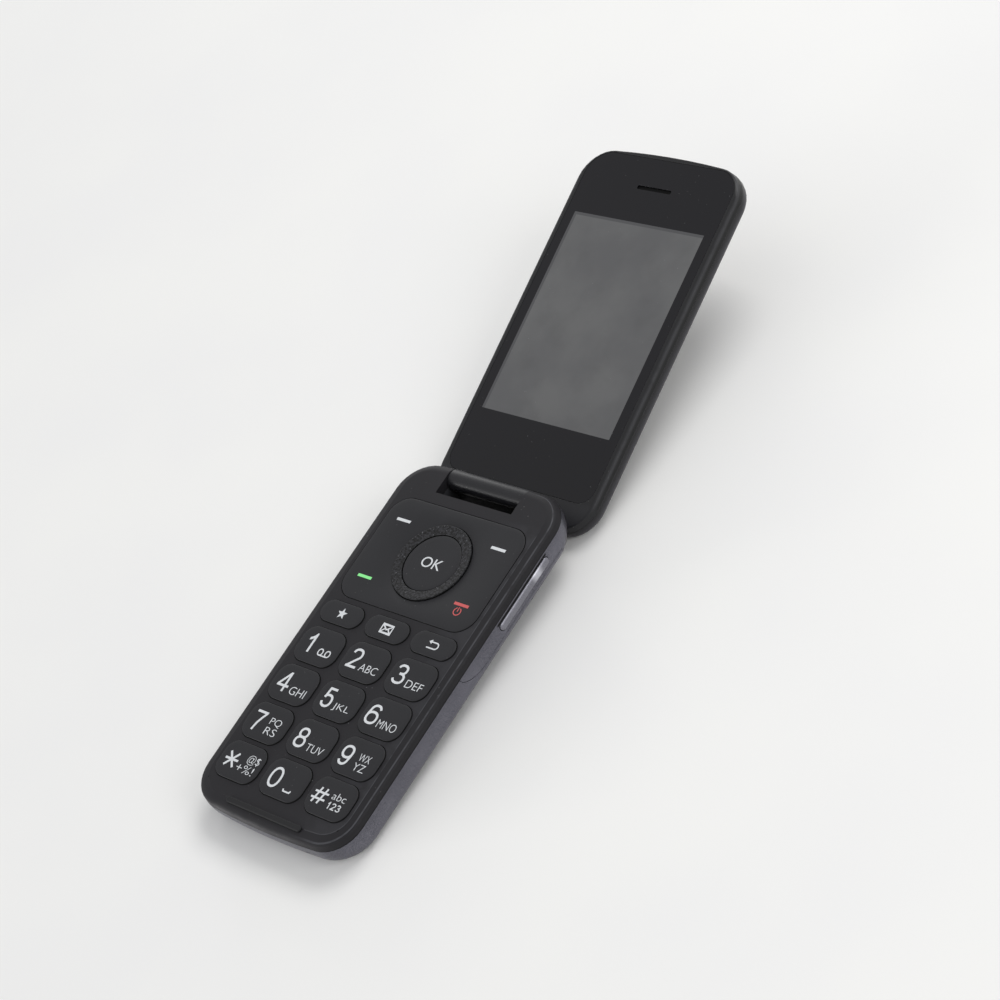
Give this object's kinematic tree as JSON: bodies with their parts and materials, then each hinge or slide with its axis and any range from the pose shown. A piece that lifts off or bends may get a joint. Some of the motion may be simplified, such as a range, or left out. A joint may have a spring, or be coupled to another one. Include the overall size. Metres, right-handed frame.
{
  "type": "flip phone",
  "caption": "Clamshell mobile phone, open, with a lid that swings on a barrel hinge, a rounded keypad, a navigation ring and a side rocker key.",
  "frame": {"origin": "middle of the keypad half's flat back face", "axes": "+Z out of the keypad's face, +Y towards the hinge and the lid, +X to the right of the keypad"},
  "size_m": [0.0535, 0.2018, 0.027],
  "materials": {
    "face_shell": "fine matte paint",
    "side_coat": "fine metallic paint",
    "cell_case": "wrapped in a dark sleeve",
    "dark_plastic": "moulded",
    "circuit_board": "solder resist",
    "dome_steel": "thin sheet",
    "silicone": "translucent",
    "cushion_rubber": "matte",
    "pressed_steel": "nickel plated",
    "speaker_case": "matte",
    "tungsten": "sintered",
    "key_plastic": "soft satin",
    "ring_coat": "coarse sparkling texture",
    "lid_frame": "satin",
    "lid_coat": "dark metallic paint",
    "display_panel": "clear panel with a black printed border",
    "display_glass": "switched off",
    "dark_window": "smoked and polished",
    "mesh_steel": "fine woven mesh",
    "flex_foil": "polyimide foil"
  },
  "bodies": {
    "base": {"front_housing": "face_shell", "rear_housing": "side_coat", "battery_cover": "side_coat", "battery": "cell_case", "battery_contacts": "dark_plastic", "main_board": "circuit_board", "dome_sheet": "dome_steel", "keypad_mat": "silicone", "lid_cushion": "cushion_rubber", "usb_socket": "pressed_steel", "headset_jack": "dark_plastic", "loudspeaker": "speaker_case", "vibration_motor": "pressed_steel", "microphone": "pressed_steel", "antenna": "dark_plastic", "card_holder": "pressed_steel", "volume_switch": "pressed_steel", "base_screws": "pressed_steel", "hinge_cam": "pressed_steel"},
    "lid": {"lid_inner_housing": "lid_frame", "lid_outer_housing": "lid_coat", "display_window": "display_panel", "display_module": "display_glass", "lid_board": "circuit_board", "outer_window": "dark_window", "outer_display": "display_glass", "earpiece": "speaker_case", "earpiece_mesh": "mesh_steel", "camera_module": "dark_plastic", "camera_lens": "dark_window", "lid_screws": "pressed_steel", "hinge_cartridge": "pressed_steel", "hinge_bushing": "pressed_steel", "display_flex": "flex_foil"},
    "key_1": {"key_1": "key_plastic"},
    "key_2": {"key_2": "key_plastic"},
    "key_3": {"key_3": "key_plastic"},
    "key_4": {"key_4": "key_plastic"},
    "key_5": {"key_5": "key_plastic"},
    "key_6": {"key_6": "key_plastic"},
    "key_7": {"key_7": "key_plastic"},
    "key_8": {"key_8": "key_plastic"},
    "key_9": {"key_9": "key_plastic"},
    "key_star": {"key_star": "key_plastic"},
    "key_0": {"key_0": "key_plastic"},
    "key_hash": {"key_hash": "key_plastic"},
    "favourites_key": {"favourites_key": "key_plastic"},
    "message_key": {"message_key": "key_plastic"},
    "back_key": {"back_key": "key_plastic"},
    "soft_key_plate": {"soft_key_plate": "key_plastic"},
    "ok_key": {"ok_key": "key_plastic"},
    "nav_ring_pad": {"nav_ring_pad": "silicone"},
    "nav_ring": {"nav_ring": "ring_coat"},
    "volume_key": {"volume_key": "side_coat"},
    "vibration_weight": {"vibration_weight": "tungsten"}
  },
  "joints": [
    {"name": "lid_hinge", "type": "hinge", "parent": "base", "child": "lid", "pos_m": [0, 0.04965, 0.00675], "axis": [1, 0, 0], "range_deg": [0, 169.8]},
    {"name": "key_1_press", "type": "slide", "parent": "base", "child": "key_1", "axis": [0, 0, -1], "range_m": [0, 0.0003], "stiffness_N_per_m": 2000},
    {"name": "key_2_press", "type": "slide", "parent": "base", "child": "key_2", "axis": [0, 0, -1], "range_m": [0, 0.0003], "stiffness_N_per_m": 2000},
    {"name": "key_3_press", "type": "slide", "parent": "base", "child": "key_3", "axis": [0, 0, -1], "range_m": [0, 0.0003], "stiffness_N_per_m": 2000},
    {"name": "key_4_press", "type": "slide", "parent": "base", "child": "key_4", "axis": [0, 0, -1], "range_m": [0, 0.0003], "stiffness_N_per_m": 2000},
    {"name": "key_5_press", "type": "slide", "parent": "base", "child": "key_5", "axis": [0, 0, -1], "range_m": [0, 0.0003], "stiffness_N_per_m": 2000},
    {"name": "key_6_press", "type": "slide", "parent": "base", "child": "key_6", "axis": [0, 0, -1], "range_m": [0, 0.0003], "stiffness_N_per_m": 2000},
    {"name": "key_7_press", "type": "slide", "parent": "base", "child": "key_7", "axis": [0, 0, -1], "range_m": [0, 0.0003], "stiffness_N_per_m": 2000},
    {"name": "key_8_press", "type": "slide", "parent": "base", "child": "key_8", "axis": [0, 0, -1], "range_m": [0, 0.0003], "stiffness_N_per_m": 2000},
    {"name": "key_9_press", "type": "slide", "parent": "base", "child": "key_9", "axis": [0, 0, -1], "range_m": [0, 0.0003], "stiffness_N_per_m": 2000},
    {"name": "key_star_press", "type": "slide", "parent": "base", "child": "key_star", "axis": [0, 0, -1], "range_m": [0, 0.0003], "stiffness_N_per_m": 2000},
    {"name": "key_0_press", "type": "slide", "parent": "base", "child": "key_0", "axis": [0, 0, -1], "range_m": [0, 0.0003], "stiffness_N_per_m": 2000},
    {"name": "key_hash_press", "type": "slide", "parent": "base", "child": "key_hash", "axis": [0, 0, -1], "range_m": [0, 0.0003], "stiffness_N_per_m": 2000},
    {"name": "favourites_key_press", "type": "slide", "parent": "base", "child": "favourites_key", "axis": [0, 0, -1], "range_m": [0, 0.0003], "stiffness_N_per_m": 2000},
    {"name": "message_key_press", "type": "slide", "parent": "base", "child": "message_key", "axis": [0, 0, -1], "range_m": [0, 0.0003], "stiffness_N_per_m": 2000},
    {"name": "back_key_press", "type": "slide", "parent": "base", "child": "back_key", "axis": [0, 0, -1], "range_m": [0, 0.0003], "stiffness_N_per_m": 2000},
    {"name": "soft_key_plate_press", "type": "slide", "parent": "base", "child": "soft_key_plate", "axis": [0, 0, -1], "range_m": [0, 0.0003], "stiffness_N_per_m": 2000},
    {"name": "ok_key_press", "type": "slide", "parent": "base", "child": "ok_key", "axis": [0, 0, -1], "range_m": [0, 0.0003], "stiffness_N_per_m": 2000},
    {"name": "ring_up_down", "type": "hinge", "parent": "base", "child": "nav_ring_pad", "pos_m": [0, 0.02475, 0.008], "axis": [1, 0, 0], "range_deg": [-1.2, 1.2], "stiffness_Nm_per_rad": 0.3},
    {"name": "ring_left_right", "type": "hinge", "parent": "nav_ring_pad", "child": "nav_ring", "pos_m": [0, 0.02475, 0.008], "axis": [0, 1, 0], "range_deg": [-1.2, 1.2], "stiffness_Nm_per_rad": 0.3},
    {"name": "volume_rock", "type": "hinge", "parent": "base", "child": "volume_key", "pos_m": [0.0253, 0.0267, 0.00495], "axis": [0, 0, 1], "range_deg": [-1.2, 1.2], "stiffness_Nm_per_rad": 0.3},
    {"name": "weight_spin", "type": "hinge", "parent": "base", "child": "vibration_weight", "pos_m": [0.0182, 0.03, 0.00355], "axis": [0, 1, 0], "continuous": true}
  ]
}
